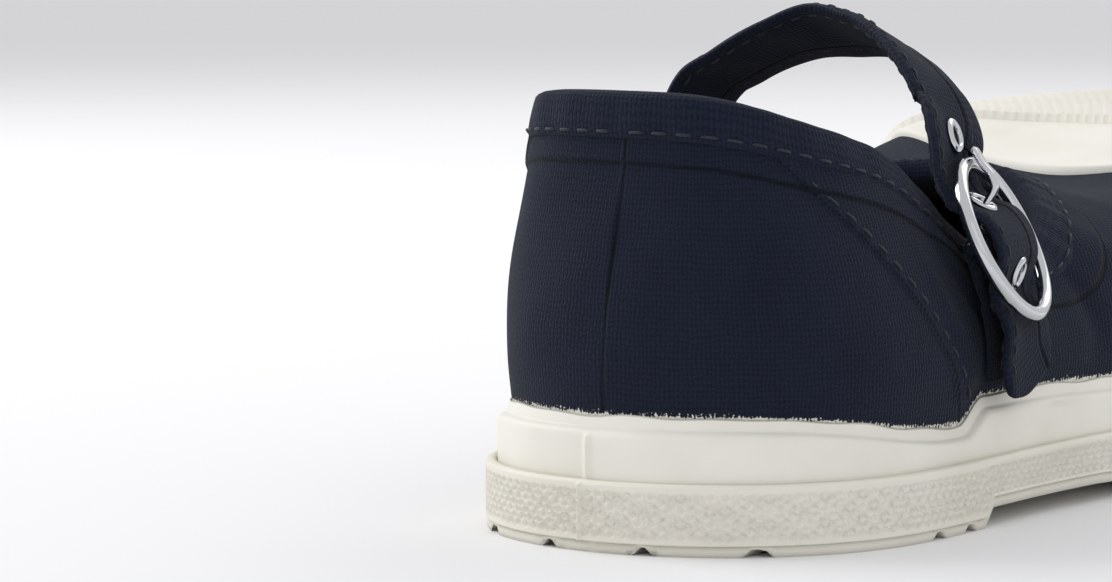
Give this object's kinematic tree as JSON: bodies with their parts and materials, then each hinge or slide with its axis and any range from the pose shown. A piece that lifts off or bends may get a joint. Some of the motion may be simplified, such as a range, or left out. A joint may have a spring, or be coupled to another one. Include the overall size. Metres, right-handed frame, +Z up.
{
  "type": "canvas strap sneaker",
  "caption": "Child's low canvas sneaker with an open instep, a buckled ankle strap, a rubber toe cap with a ribbed toe bumper, and a rubber sole with a textured edge band.",
  "frame": {"origin": "on the floor in the middle of the heel's tread", "axes": "+Y from heel to toe, +X to the wearer's right (the outer side of this right shoe), +Z up from the floor"},
  "size_m": [0.0775, 0.185, 0.0595],
  "materials": {
    "canvas": "matt cotton canvas, plain weave, deep navy",
    "lining": "unbleached cotton twill",
    "rubber": "moulded off-white natural rubber, satin",
    "chrome": "bright nickel-chrome plating on bent steel wire and brass eyelets"
  },
  "bodies": {
    "root": {"outsole": "rubber", "band_textured": "rubber", "band_smooth": "rubber", "upper": "canvas", "toe_bumper": "rubber", "toe_cap": "rubber", "insole": "lining", "strap": "canvas", "eyelet_1": "chrome", "eyelet_2": "chrome", "eyelet_3": "chrome", "buckle_ring": "chrome", "buckle_prong": "chrome", "buckle_strap": "canvas"}
  },
  "joints": []
}
